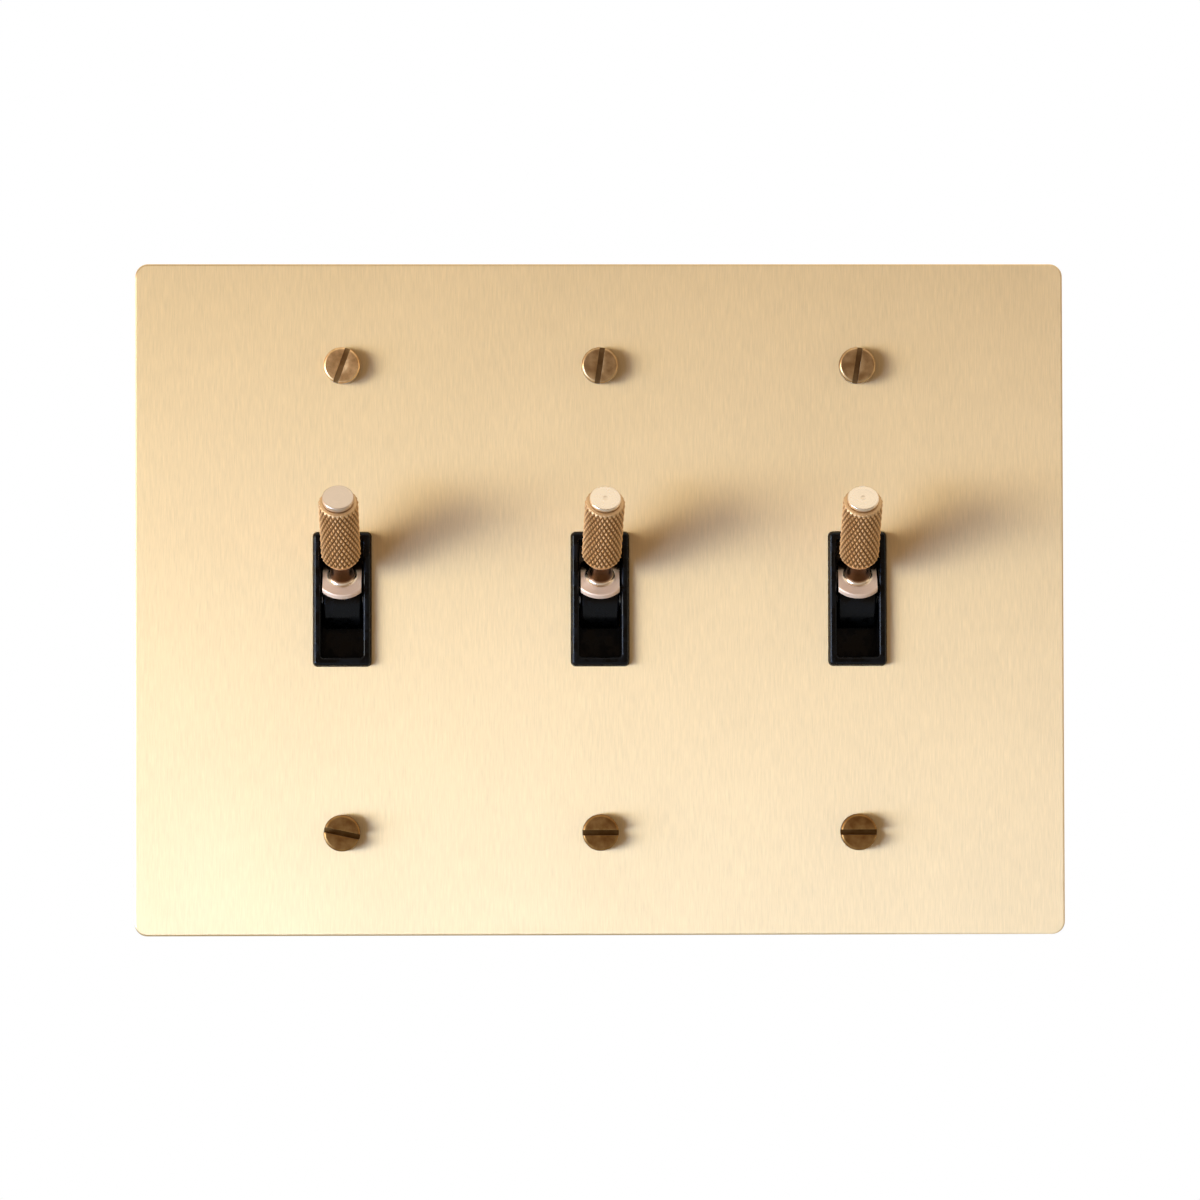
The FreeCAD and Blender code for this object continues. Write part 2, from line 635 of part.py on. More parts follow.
def spring(name):
    """The coil spring. Each end turn rests on a ball, a little way out from the ball's centre."""
    (y0, z0), (y1, z1) = ball_centres()
    span = math.hypot(y1 - y0, z1 - z0)
    touch = BALL_RADIUS + SPRING_WIRE_RADIUS + SPRING_SEAT_GAP
    seat = math.sqrt(touch ** 2 - SPRING_COIL_RADIUS ** 2)
    along = FreeCAD.Vector(0, (y1 - y0) / span, (z1 - z0) / span)
    across = along.cross(X_AXIS)
    start = FreeCAD.Vector(gang_x(name), y0, z0) + along * seat
    points = []
    count = SPRING_TURN_COUNT * SPRING_POINT_COUNT
    for i in range(count + 1):
        turn = 2 * math.pi * i / SPRING_POINT_COUNT
        out = X_AXIS * math.cos(turn) + across * math.sin(turn)
        points.append(start + along * ((span - 2 * seat) * i / count) + out * SPRING_COIL_RADIUS)
    path = Part.BSplineCurve()
    path.interpolate(points)
    tangent = path.tangent(path.FirstParameter)[0]
    wire = Part.Wire([Part.makeCircle(SPRING_WIRE_RADIUS, points[0], tangent)])
    return Part.Wire([path.toShape()]).makePipeShell([wire], True, True)


def rocker(name):
    """The moulded rocker: a hub, a ball for the spring and a bar that carries the contact bridge."""
    half = ROCKER_HUB_HALF_WIDTH
    hub = rod(ROCKER_HUB_RADIUS, FreeCAD.Vector(-half, 0, 0), X_AXIS, 2 * half)
    bar = box(
        -ROCKER_BAR_HALF_WIDTH,
        ROCKER_BAR_HALF_WIDTH,
        ROCKER_BAR_FRONT,
        BRIDGE_FRONT,
        -ROCKER_BAR_DOWN,
        ROCKER_BAR_UP,
    )
    relief = box(
        -ROCKER_BAR_HALF_WIDTH,
        ROCKER_BAR_HALF_WIDTH,
        BRIDGE_FRONT,
        ROCKER_HUB_RADIUS,
        -ROCKER_HUB_RADIUS,
        ROCKER_HUB_RADIUS,
    )
    ball = Part.makeSphere(BALL_RADIUS, FreeCAD.Vector(0, -ROCKER_BALL_REACH, 0))
    post = rod(BALL_POST_RADIUS, FreeCAD.Vector(0, -ROCKER_BALL_REACH, 0), Y_AXIS, ROCKER_BALL_REACH)
    bore = rod(PIN_RADIUS + PIN_CLEARANCE, FreeCAD.Vector(-half, 0, 0), X_AXIS, 2 * half)
    shape = hub.cut(relief).fuse(bar).fuse(ball).fuse(post).cut(bore)
    return on_rocker(shape.removeSplitter(), name)


def contact_bridge(name):
    strip = box(
        -BRIDGE_HALF_WIDTH,
        BRIDGE_HALF_WIDTH,
        BRIDGE_FRONT,
        BRIDGE_FRONT + BRIDGE_THICKNESS,
        BRIDGE_INSET - ROCKER_BAR_DOWN,
        ROCKER_BAR_UP - BRIDGE_INSET,
    )
    start = FreeCAD.Vector(0, BRIDGE_FRONT + BRIDGE_THICKNESS, CONTACT_HEIGHT)
    button = rod(CONTACT_RADIUS, start, Y_AXIS, CONTACT_THICKNESS)
    return on_rocker(strip.fuse(button), name)


def rocker_pin(name):
    half = ROCKER_HUB_HALF_WIDTH + CRADLE_GAP + TERMINAL_THICKNESS
    return rod(PIN_RADIUS, FreeCAD.Vector(gang_x(name) - half, ROCKER_PIVOT_DEPTH, 0), X_AXIS, 2 * half)


def terminal_leg(side):
    """The leg in the housing's window, with the hole for its screw."""
    low = min(side * TERMINAL_NEAR, side * (TERMINAL_NEAR + TERMINAL_WIDTH))
    leg = box(
        CAVITY_HALF_WIDTH,
        LEG_BACK,
        TERMINAL_LEG_FRONT,
        HOUSING_INNER_BACK,
        low,
        low + TERMINAL_WIDTH,
    )
    start = FreeCAD.Vector(CAVITY_HALF_WIDTH, TERMINAL_SCREW_DEPTH, side * TERMINAL_SCREW_HEIGHT)
    return leg.cut(rod(TERMINAL_SCREW_RADIUS, start, X_AXIS, TERMINAL_THICKNESS))


def load_terminal(name):
    """The upper terminal, with a domed contact that the bridge touches in the up position."""
    pad = box(
        -TERMINAL_PAD_HALF_WIDTH,
        CAVITY_HALF_WIDTH,
        TERMINAL_FACE,
        HOUSING_INNER_BACK,
        TERMINAL_NEAR,
        TERMINAL_NEAR + TERMINAL_WIDTH,
    )
    tilt = math.radians(ROCKER_TILT)
    face_depth = ROCKER_PIVOT_DEPTH + CONTACT_FACE * math.cos(tilt) + CONTACT_HEIGHT * math.sin(tilt)
    face_height = CONTACT_HEIGHT * math.cos(tilt) - CONTACT_FACE * math.sin(tilt)
    centre_depth = face_depth + (CONTACT_DOME_RADIUS + CONTACT_GAP) / math.cos(tilt)
    dome = Part.makeSphere(CONTACT_DOME_RADIUS, FreeCAD.Vector(0, centre_depth, face_height))
    reach = 2 * CONTACT_DOME_RADIUS
    front = box(-reach, reach, face_depth - reach, HOUSING_INNER_BACK, face_height - reach, face_height + reach)
    shape = pad.fuse(dome.common(front)).fuse(terminal_leg(1)).removeSplitter()
    return moved(shape, gang_x(name))


def line_terminal(name):
    """The lower terminal, with two ears that hold the rocker's pin."""
    pad = box(
        -TERMINAL_PAD_HALF_WIDTH,
        CAVITY_HALF_WIDTH,
        TERMINAL_FACE,
        HOUSING_INNER_BACK,
        -TERMINAL_NEAR - TERMINAL_WIDTH,
        -TERMINAL_NEAR,
    )
    inner = ROCKER_HUB_HALF_WIDTH + CRADLE_GAP
    outer = inner + TERMINAL_THICKNESS
    base = box(-outer, outer, TERMINAL_FACE, HOUSING_INNER_BACK, -TERMINAL_NEAR - TERMINAL_WIDTH, CRADLE_TOP)
    shape = pad.fuse(base).fuse(terminal_leg(-1))
    for side in (1, -1):
        x = min(side * inner, side * outer)
        ear = box(x, x + TERMINAL_THICKNESS, ROCKER_PIVOT_DEPTH, TERMINAL_FACE, -CRADLE_HALF_WIDTH, CRADLE_HALF_WIDTH)
        tip = rod(CRADLE_HALF_WIDTH, FreeCAD.Vector(x, ROCKER_PIVOT_DEPTH, 0), X_AXIS, TERMINAL_THICKNESS)
        hole = rod(PIN_RADIUS, FreeCAD.Vector(x, ROCKER_PIVOT_DEPTH, 0), X_AXIS, TERMINAL_THICKNESS)
        shape = shape.fuse(ear.fuse(tip).cut(hole))
    return moved(shape.removeSplitter(), gang_x(name))


def terminal_screw(name, side):
    head = turned([
        (0, -TERMINAL_SCREW_REACH),
        (TERMINAL_SCREW_RADIUS, -TERMINAL_SCREW_REACH),
        (TERMINAL_SCREW_RADIUS, 0),
        (TERMINAL_SCREW_HEAD_RADIUS, 0),
        (TERMINAL_SCREW_HEAD_RADIUS, TERMINAL_SCREW_HEAD_HEIGHT),
        (0, TERMINAL_SCREW_HEAD_HEIGHT),
    ])
    reach = 2 * TERMINAL_SCREW_HEAD_RADIUS
    slot = Part.makeBox(
        TERMINAL_SLOT_WIDTH,
        2 * reach,
        TERMINAL_SLOT_DEPTH,
        FreeCAD.Vector(-TERMINAL_SLOT_WIDTH / 2, -reach, TERMINAL_SCREW_HEAD_HEIGHT - TERMINAL_SLOT_DEPTH),
    )
    screw = head.cut(slot)
    screw.rotate(FreeCAD.Vector(0, 0, 0), Y_AXIS, 90)
    return moved(screw, gang_x(name) + LEG_BACK, TERMINAL_SCREW_DEPTH, side * TERMINAL_SCREW_HEIGHT)


def terminal_screws():
    return [terminal_screw(name, side) for name in GANG_NAMES for side in (1, -1)]


def write(node, shape):
    if isinstance(shape, list):
        shape = Part.makeCompound(shape)
    shape.exportStep("parts/" + node + ".step")
    print(node, len(shape.Solids), "solids", round(shape.Volume, 2), "mm3", "valid" if shape.isValid() else "INVALID")


def main():
    os.makedirs("parts", exist_ok=True)
    shared = {
        "face_plate": face_plate,
        "plate_screws": plate_screws,
        "earth_screws": earth_screws,
        "body_rivets": body_rivets,
        "terminal_screws": terminal_screws,
    }
    for node, make in shared.items():
        write(node, make())
    per_gang = {
        "strap": strap,
        "cover": cover,
        "housing": housing,
        "pivot_pin": pivot_pin,
        "carrier": carrier,
        "lever_stem": lever_stem,
        "grip": grip,
        "lever_cap": lever_cap,
        "spring": spring,
        "rocker": rocker,
        "contact_bridge": contact_bridge,
        "rocker_pin": rocker_pin,
        "load_terminal": load_terminal,
        "line_terminal": line_terminal,
    }
    for name in GANG_NAMES:
        for node, make in per_gang.items():
            write(name + "_" + node, make(name))


main()
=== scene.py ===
import json
import math

import bmesh
import bpy
from mathutils import Matrix, Vector


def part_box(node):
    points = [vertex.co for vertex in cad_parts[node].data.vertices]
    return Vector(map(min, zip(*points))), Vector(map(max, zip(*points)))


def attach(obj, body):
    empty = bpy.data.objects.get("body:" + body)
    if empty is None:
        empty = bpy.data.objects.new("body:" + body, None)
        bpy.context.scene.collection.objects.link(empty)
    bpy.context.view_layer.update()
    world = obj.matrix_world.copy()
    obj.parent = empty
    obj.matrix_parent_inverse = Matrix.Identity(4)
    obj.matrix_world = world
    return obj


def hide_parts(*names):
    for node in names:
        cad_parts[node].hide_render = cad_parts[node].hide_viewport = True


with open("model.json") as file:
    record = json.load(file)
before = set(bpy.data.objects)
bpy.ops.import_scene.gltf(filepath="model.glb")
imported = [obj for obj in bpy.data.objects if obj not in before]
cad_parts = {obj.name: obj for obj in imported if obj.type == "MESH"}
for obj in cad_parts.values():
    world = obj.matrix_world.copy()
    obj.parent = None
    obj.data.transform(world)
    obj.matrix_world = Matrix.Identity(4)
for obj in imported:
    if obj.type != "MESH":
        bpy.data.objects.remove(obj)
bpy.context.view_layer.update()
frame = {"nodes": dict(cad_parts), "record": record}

# The looks of a three-gang brass dolly switch. Sizes of turned pieces are in millimetres and
# become metres in the mesh; everything else is in metres.
# Frame: +X to the right, +Y into the wall, +Z up; the front faces -Y.

MM = 0.001
GANGS = ("left", "middle", "right")

# Lever, measured along its axis from the pivot. Above the collar, two of the levers lean a little to
# one side. The SHADE values say where painted shade darkens the collar behind the axis, and the neck above the
# collar.
LEVER_TILT = math.radians(38)
LEVER_LEAN = {"left": 0.0, "middle": math.radians(1.8), "right": math.radians(-0.7)}
COLLAR_FLAT = 3.45
SPIGOT_START = 2.0
BORE_RADIUS = 1.6
COLLAR_START = 5.63
COLLAR_END = 6.8
COLLAR_RADIUS = 4.6
COLLAR_CHAMFER = 0.18
NECK_BASE_RADIUS = 2.2
NECK_WAIST_RADIUS = 2.05
NECK_TOP_RADIUS = 2.3
NECK_FILLET = 0.6
COLLAR_SHADE_START = 0.6
COLLAR_SHADE_LENGTH = 1.0
NECK_SHADE_START = 0.4
NECK_SHADE_LENGTH = 0.3
GRIP_START = 11.6
GRIP_LOW_RADIUS = 2.75
GRIP_LOW_SLOPE = 0.62
KNURL_START = 12.0
KNURL_END = 26.4
KNURL_PEAK_RADIUS = 3.55
KNURL_VALLEY_RADIUS = 3.25
KNURL_AROUND = 26
KNURL_ALONG = 8
KNURL_SAMPLES = 8
KNURL_LAND = 1.0
GRIP_END = 27.0
SHOULDER_RADIUS = 2.8
SHOULDER_HEIGHT = 0.8
STEM_END = 20.0
CAP_SHANK_START = 21.0
CAP_GROOVE_RADIUS = 2.2
CAP_START = 27.2
CAP_RADIUS = 2.8
CAP_EDGE = 0.25
CAP_THICKNESS = {"left": 1.05, "middle": 0.8, "right": 0.8}
CAP_MARK_RADIUS = {"left": 0.0, "middle": 0.4, "right": 0.4}
CAP_MARK_DEPTH = 0.3

# Box screws, measured into the wall from the underside of the head
SCREW_SLOT_ANGLES = {
    ("left", 1): 20.0,
    ("middle", 1): 8.5,
    ("right", 1): 9.0,
    ("left", -1): 102.0,
    ("middle", -1): 90.0,
    ("right", -1): 90.0,
}
SCREW_HEAD_RADIUS = 3.25
SCREW_HEAD_HEIGHT = 2.2
SCREW_HEAD_EDGE = 0.5
SCREW_SLOT_WIDTH = 0.95
SCREW_SLOT_DEPTH = 1.1
SCREW_NECK_RADIUS = 1.5
SCREW_THREAD_RADIUS = 1.75
SCREW_ROOT_RADIUS = 1.32
SCREW_PITCH = 0.8
SCREW_THREAD_START = 3.3
SCREW_LENGTH = 25.5
SCREW_TIP_CHAMFER = 0.6

# What turned brass changes to where a piece says that it is satin, and where it carries painted shade
SATIN_TONE = (0.86, 0.60, 0.41)
PAINTED_SHADE_TONE = (0.10, 0.048, 0.017)

# What glossy surfaces see of the studio, from straight down to straight up: the sine of the height
# above the horizon, halved and moved to 0..1, with the level there and how warm it is. The room in
# front is dark and warm, and the ceiling is white.
STUDIO_LEVELS = (
    (0.0, 0.7, 0.0),
    (0.3, 0.7, 0.2),
    (0.42, 0.42, 0.6),
    (0.5, 0.26, 1.0),
    (0.6, 0.22, 1.0),
    (0.68, 0.32, 0.8),
    (0.78, 0.75, 0.4),
    (0.9, 0.92, 0.0),
    (1.0, 1.05, 0.0),
)
WARM = (1.02, 0.70, 0.47)
WINDOW_COLOUR = (1.42, 1.17, 1.03)
FAR_WALL_COLOUR = (1.0, 0.92, 0.8)
SOFT_LIGHT = 0.55

# The soft boxes stand on the left, in this direction from the plate when level with it
LAMP_SIDE = 0.857
LAMP_FRONT = 0.515

# Floor, and how white the camera sees it
FLOOR_HALF_SIZE = 1.6
FLOOR_HEIGHT = -0.45
FLOOR_WHITE = 0.85

# Camera, fitted to the plate's outline in the photograph. Distances are in millimetres, angles in
# degrees, and the scale is in pixels for each millimetre of the plate's front.
CAMERA_DISTANCE = 750.0
CAMERA_RIGHT = -13.5
CAMERA_UP = -20.1
CAMERA_YAW = -1.03
CAMERA_PITCH = 1.52
CAMERA_ROLL = 0.108
CAMERA_SCALE = 5.599
SENSOR_WIDTH = 36.0
PICTURE_WIDTH = 1200.0


# Node trees

def add(tree, kind, inputs=None, **settings):
    """A node with its settings and inputs; an input is a value or the socket that feeds it."""
    made = tree.nodes.new(kind)
    for key, value in settings.items():
        setattr(made, key, value)
    for key, value in (inputs or {}).items():
        if isinstance(value, bpy.types.NodeSocket):
            tree.links.new(value, made.inputs[key])
        else:
            made.inputs[key].default_value = value
    return made


def blank_material(name):
    material = bpy.data.materials.new(name)
    material.use_nodes = True
    material.node_tree.nodes.clear()
    return material, material.node_tree


def finish_material(tree, shader):
    out = tree.nodes.new("ShaderNodeOutputMaterial")
    tree.links.new(shader.outputs[0], out.inputs["Surface"])


def object_place(tree, scale=(1, 1, 1)):
    """Places on the object in metres, stretched by scale."""
    place = add(tree, "ShaderNodeTexCoord")
    return add(tree, "ShaderNodeMapping", {"Vector": place.outputs["Object"], "Scale": scale}).outputs[0]


def noise(tree, vector, scale, detail=2.0, roughness=0.5):
    made = add(
        tree,
        "ShaderNodeTexNoise",
        {"Vector": vector, "Scale": scale, "Detail": detail, "Roughness": roughness},
    )
    return made.outputs["Fac"]


def spread(tree, value, low, high, from_low=0.3, from_high=0.7):
    made = add(
        tree,
        "ShaderNodeMapRange",
        {"Value": value, "From Min": from_low, "From Max": from_high, "To Min": low, "To Max": high},
    )
    return made.outputs["Result"]


def math_node(tree, operation, a, b):
    made = add(tree, "ShaderNodeMath", operation=operation)
    for socket, value in zip(made.inputs, (a, b)):
        if isinstance(value, bpy.types.NodeSocket):
            tree.links.new(value, socket)
        else:
            socket.default_value = value
    return made.outputs[0]


def tinted(tree, colour, amount):
    """A colour multiplied by a value that varies over the surface."""
    made = add(
        tree,
        "ShaderNodeMix",
        {"Factor": 1.0},
        data_type="RGBA",
        blend_type="MULTIPLY",
    )
    if isinstance(colour, bpy.types.NodeSocket):
        tree.links.new(colour, made.inputs[6])
    else:
        made.inputs[6].default_value = (*colour, 1.0)
    grey = add(tree, "ShaderNodeCombineColor", {0: amount, 1: amount, 2: amount})
    tree.links.new(grey.outputs[0], made.inputs[7])
    return made.outputs[2]


def mixed(tree, factor, colour_a, colour_b):
    made = add(tree, "ShaderNodeMix", {"Factor": factor}, data_type="RGBA")
    for socket, colour in ((made.inputs[6], colour_a), (made.inputs[7], colour_b)):
        if isinstance(colour, bpy.types.NodeSocket):
            tree.links.new(colour, socket)
        else:
            socket.default_value = (*colour, 1.0)
    return made.outputs[2]


def brushed_plate_material():
    """Satin brass, brushed upright: fine long streaks, broader bands and faint clouds."""
    material, tree = blank_material("satin_brass_brushed")
    fine = noise(tree, object_place(tree, (1, 1, 0.05)), 6000, 3.0, 0.6)
    medium = noise(tree, object_place(tree, (1, 1, 0.12)), 2000, 3.0, 0.6)
    broad = noise(tree, object_place(tree, (1, 1, 0.25)), 150, 3.0, 0.5)
    cloud = noise(tree, object_place(tree, (1, 1, 0.8)), 30, 3.0, 0.55)
    streak = math_node(tree, "ADD", spread(tree, fine, -0.055, 0.055), spread(tree, medium, -0.028, 0.028))
    slow = math_node(tree, "ADD", spread(tree, broad, -0.008, 0.008), spread(tree, cloud, -0.022, 0.022))
    shade = math_node(tree, "ADD", math_node(tree, "ADD", streak, slow), 1.0)
    roughness = math_node(tree, "ADD", spread(tree, broad, -0.012, 0.012), 0.55)
    bump = add(tree, "ShaderNodeBump", {"Height": fine, "Strength": 0.15, "Distance": 0.008 * MM})
    shader = add(
        tree,
        "ShaderNodeBsdfPrincipled",
        {
            "Base Color": tinted(tree, (0.88, 0.66, 0.355), shade),
            "Metallic": 1.0,
            "Roughness": roughness,
            "Anisotropic": 0.88,
            "Normal": bump.outputs[0],
        },
    )
    finish_material(tree, shader)
    return material


def turned_material(name, colour, roughness, shade_range=0.05, scale=9000.0):
    """Turned brass: fine rings round the piece, taken from its own unwrapping. The piece's own
    values say where it is satin, as on a collar, and where painted shade darkens it, as on a neck and a collar's
    rear."""
    material, tree = blank_material(name)
    unwrapped = add(tree, "ShaderNodeUVMap", uv_map="turning").outputs[0]
    rings = add(tree, "ShaderNodeMapping", {"Vector": unwrapped, "Scale": (scale, 2.0, 1.0)}).outputs[0]
    fine = noise(tree, rings, 1.0, 3.0, 0.6)
    cloud = noise(tree, object_place(tree), 420, 3.0, 0.55)
    shade = math_node(
        tree,
        "ADD",
        math_node(tree, "ADD", spread(tree, fine, -shade_range, shade_range), spread(tree, cloud, -0.03, 0.03)),
        1.0,
    )
    bump = add(tree, "ShaderNodeBump", {"Height": fine, "Strength": 0.3, "Distance": 0.01 * MM})
    along = add(tree, "ShaderNodeTangent", direction_type="UV_MAP", uv_map="turning")
    satin = add(tree, "ShaderNodeAttribute", attribute_name="satin").outputs["Fac"]
    painted_shade = add(tree, "ShaderNodeAttribute", attribute_name="painted_shade").outputs["Fac"]
    # Painted shade: where the piece says so, the colour turns to a dark brown that stands for shadow and dark
    # reflection
    tone = mixed(tree, painted_shade, mixed(tree, satin, colour, SATIN_TONE), PAINTED_SHADE_TONE)
    gloss = math_node(
        tree,
        "ADD",
        math_node(tree, "MULTIPLY", satin, 0.25),
        math_node(tree, "MULTIPLY", painted_shade, -0.1),
    )
    uneven = math_node(tree, "ADD", spread(tree, cloud, -0.04, 0.04), roughness)
    shader = add(
        tree,
        "ShaderNodeBsdfPrincipled",
        {
            "Base Color": tinted(tree, tone, shade),
            "Metallic": spread(tree, satin, 1.0, 0.4, 0.0, 1.0),
            "Roughness": math_node(tree, "ADD", uneven, gloss),
            "Anisotropic": 0.3,
            "Normal": bump.outputs[0],
            "Tangent": along.outputs[0],
        },
    )
    finish_material(tree, shader)
    return material


def knurl_material():
    """Knurled brass: bright peaks, and grooves darkened to brown by painted shade. The piece's own values
    say how far into a groove a place lies, and where the sleeve is plainly turned."""
    material, tree = blank_material("knurled_brass")
    depth = add(tree, "ShaderNodeAttribute", attribute_name="groove").outputs["Fac"]
    cloud = noise(tree, object_place(tree), 900, 3.0, 0.6)
    groove_painted_shade = spread(tree, depth, 0.0, 0.95, 0.2, 0.95)
    turned = add(tree, "ShaderNodeAttribute", attribute_name="turned").outputs["Fac"]
    peak = mixed(tree, turned, (0.84, 0.49, 0.215), (0.66, 0.42, 0.20))
    # Painted shade: the further into a groove a place lies, the nearer its colour comes to dark brown
    colour = mixed(tree, groove_painted_shade, tinted(tree, peak, spread(tree, cloud, 0.92, 1.06)), (0.20, 0.09, 0.026))
    roughness = math_node(tree, "ADD", spread(tree, cloud, 0.45, 0.55), math_node(tree, "MULTIPLY", turned, 0.06))
    shader = add(
        tree,
        "ShaderNodeBsdfPrincipled",
        {
            "Base Color": colour,
            "Metallic": 1.0,
            "Roughness": roughness,
        },
    )
    finish_material(tree, shader)
    return material


def antique_material():
    """Antiqued brass of the box screws: mottled brown patina, lighter on the upper screws, lighter still
    on the upper left one, and darker deeper than each head's face, partly dirt and partly painted shade."""
    material, tree = blank_material("antique_brass_patina")
    cloud = noise(tree, object_place(tree), 520, 4.0, 0.6)
    grain = noise(tree, object_place(tree, (1, 1, 0.2)), 5200, 2.0, 0.6)
    place = add(tree, "ShaderNodeSeparateXYZ", {"Vector": object_place(tree)})
    screw_face_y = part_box("plate_screws")[0].y
    upper = spread(tree, place.outputs["Z"], 0.0, 1.0, -0.03, 0.03)
    mottled = spread(tree, cloud, 0.0, 1.0, 0.35, 0.7)
    patina = mixed(
        tree,
        upper,
        mixed(tree, mottled, (0.40, 0.19, 0.05), (0.62, 0.34, 0.11)),
        mixed(tree, mottled, (0.42, 0.25, 0.105), (0.66, 0.43, 0.2)),
    )
    outer = spread(tree, place.outputs["X"], 1.0, 0.0, -0.04, -0.03)
    # The upper left screw is made lighter still
    upper_left_lighter = math_node(tree, "MULTIPLY", math_node(tree, "MULTIPLY", upper, outer), 0.5)
    # Painted shade with dirt: deeper than each head's face, in the slot and on the head's side, the colour falls
    # to 0.42 of its tone
    below_face_shade_and_dirt = spread(tree, place.outputs["Y"], 1.0, 0.42, screw_face_y + 0.3 * MM, screw_face_y + 0.8 * MM)
    tone = math_node(tree, "ADD", spread(tree, upper, 0.62, 1.0, 0.0, 1.0), upper_left_lighter)
    colour = tinted(tree, patina, math_node(tree, "MULTIPLY", tone, below_face_shade_and_dirt))
    bump = add(tree, "ShaderNodeBump", {"Height": grain, "Strength": 0.3, "Distance": 0.02 * MM})
    shader = add(
        tree,
        "ShaderNodeBsdfPrincipled",
        {
            "Base Color": colour,
            "Metallic": 1.0,
            "Roughness": spread(tree, cloud, 0.30, 0.42),
            "Normal": bump.outputs[0],
        },
    )
    finish_material(tree, shader)
    return material


def metal_material(name, colour, roughness, scale=700.0, mottle=0.08):
    """Plain plated or rolled metal with faint mottling."""
    material, tree = blank_material(name)
    cloud = noise(tree, object_place(tree), scale, 4.0, 0.6)
    patch = noise(tree, object_place(tree), scale / 8, 2.0, 0.5)
    shade = math_node(
        tree,
        "ADD",
        math_node(tree, "ADD", spread(tree, cloud, -mottle / 2, mottle / 2), spread(tree, patch, -mottle, mottle)),
        1.0,
    )
    bump = add(tree, "ShaderNodeBump", {"Height": cloud, "Strength": 0.2, "Distance": 0.02 * MM})
    shader = add(
        tree,
        "ShaderNodeBsdfPrincipled",
        {
            "Base Color": tinted(tree, colour, shade),
            "Metallic": 1.0,
            "Roughness": math_node(tree, "ADD", spread(tree, patch, -0.06, 0.06), roughness),
            "Normal": bump.outputs[0],
        },
    )
    finish_material(tree, shader)
    return material


def moulded_material(name, colour, roughness, texture=0.01 * MM, scale=2600.0, specular=0.5, smear=0.0):
    """Moulded plastic: a faint grain, a slightly uneven gloss and duller smears."""
    material, tree = blank_material(name)
    grain = noise(tree, object_place(tree), scale, 3.0, 0.55)
    patch = noise(tree, object_place(tree), 180, 2.0, 0.5)
    smudge = noise(tree, object_place(tree), 420, 4.0, 0.6)
    smeared = spread(tree, smudge, roughness, roughness + smear, 0.4, 0.6)
    bump = add(tree, "ShaderNodeBump", {"Height": grain, "Strength": 0.5, "Distance": texture})
    shader = add(
        tree,
        "ShaderNodeBsdfPrincipled",
        {
            "Base Color": tinted(tree, colour, spread(tree, patch, 0.85, 1.15)),
            "Roughness": math_node(tree, "ADD", spread(tree, patch, -0.05, 0.05), smeared),
            "Specular IOR Level": specular,
            "Normal": bump.outputs[0],
        },
    )
    finish_material(tree, shader)
    return material


# Meshes

def new_object(name, verts, faces):
    mesh = bpy.data.meshes.new(name)
    mesh.from_pydata(verts, [], faces)
    mesh.update()
    made = bpy.data.objects.new(name, mesh)
    bpy.context.scene.collection.objects.link(made)
    return made


def shade_smooth(made, angle=30.0):
    made.data.polygons.foreach_set("use_smooth", [True] * len(made.data.polygons))
    made.data.set_sharp_from_angle(angle=math.radians(angle))


def ring_faces(low, high, count):
    """Faces between two rings, or between a ring and a single point on the axis."""
    faces = []
    for i in range(count):
        j = (i + 1) % count
        if len(low) == 1:
            faces.append((low[0], high[j], high[i]))
        elif len(high) == 1:
            faces.append((low[i], low[j], high[0]))
        else:
            faces.append((low[i], low[j], high[j], high[i]))
    return faces


def lathe(name, profile, segments=128):
    """A closed turned piece about Z from (radius, height) points in mm, unwrapped as rings."""
    verts = []
    rows = []
    for radius, height in profile:
        start = len(verts)
        if radius < 1e-6:
            verts.append((0.0, 0.0, height * MM))
        else:
            for i in range(segments):
                turn = 2 * math.pi * i / segments
                verts.append((radius * math.cos(turn) * MM, radius * math.sin(turn) * MM, height * MM))
        rows.append(list(range(start, len(verts))))
    along = [0.0]
    for (r0, h0), (r1, h1) in zip(profile, profile[1:]):
        along.append(along[-1] + math.hypot(r1 - r0, h1 - h0) * MM)
    faces = []
    corners = []
    for k in range(len(rows) - 1):
        for i, face in enumerate(ring_faces(rows[k], rows[k + 1], segments)):
            faces.append(face)
            near, far = i / segments, (i + 1) / segments
            if len(rows[k]) == 1:
                corners += [(along[k], near), (along[k + 1], far), (along[k + 1], near)]
            elif len(rows[k + 1]) == 1:
                corners += [(along[k], near), (along[k], far), (along[k + 1], near)]
            else:
                corners += [(along[k], near), (along[k], far), (along[k + 1], far), (along[k + 1], near)]
    made = new_object(name, verts, faces)
    layer = made.data.uv_layers.new(name="turning")
    layer.data.foreach_set("uv", [value for corner in corners for value in corner])
    return made


def arc(cx, cy, radius, start, end, steps=6):
    """Points on an arc in a lathe profile, angles in degrees."""
    points = []
    for k in range(steps + 1):
        turn = math.radians(start + (end - start) * k / steps)
        points.append((cx + radius * math.cos(turn), cy + radius * math.sin(turn)))
    return points


def cut_side(made, x, keep_below):
    """Cuts a closed mesh flat at a plane across x and closes it."""
    work = bmesh.new()
    work.from_mesh(made.data)
    normal = (1, 0, 0) if keep_below else (-1, 0, 0)
    cut = bmesh.ops.bisect_plane(
        work,
        geom=work.verts[:] + work.edges[:] + work.faces[:],
        dist=1e-7,
        plane_co=(x, 0, 0),
        plane_no=normal,
        clear_outer=True,
    )
    edges = [e for e in cut["geom_cut"] if isinstance(e, bmesh.types.BMEdge)]
    bmesh.ops.contextual_create(work, geom=edges)
    work.to_mesh(made.data)
    work.free()
    made.data.update()


def apply_modifiers(made):
    """Leaves the object with the mesh that its modifiers give."""
    bpy.context.view_layer.update()
    shown = bpy.data.meshes.new_from_object(made.evaluated_get(bpy.context.evaluated_depsgraph_get()))
    made.modifiers.clear()
    made.data = shown


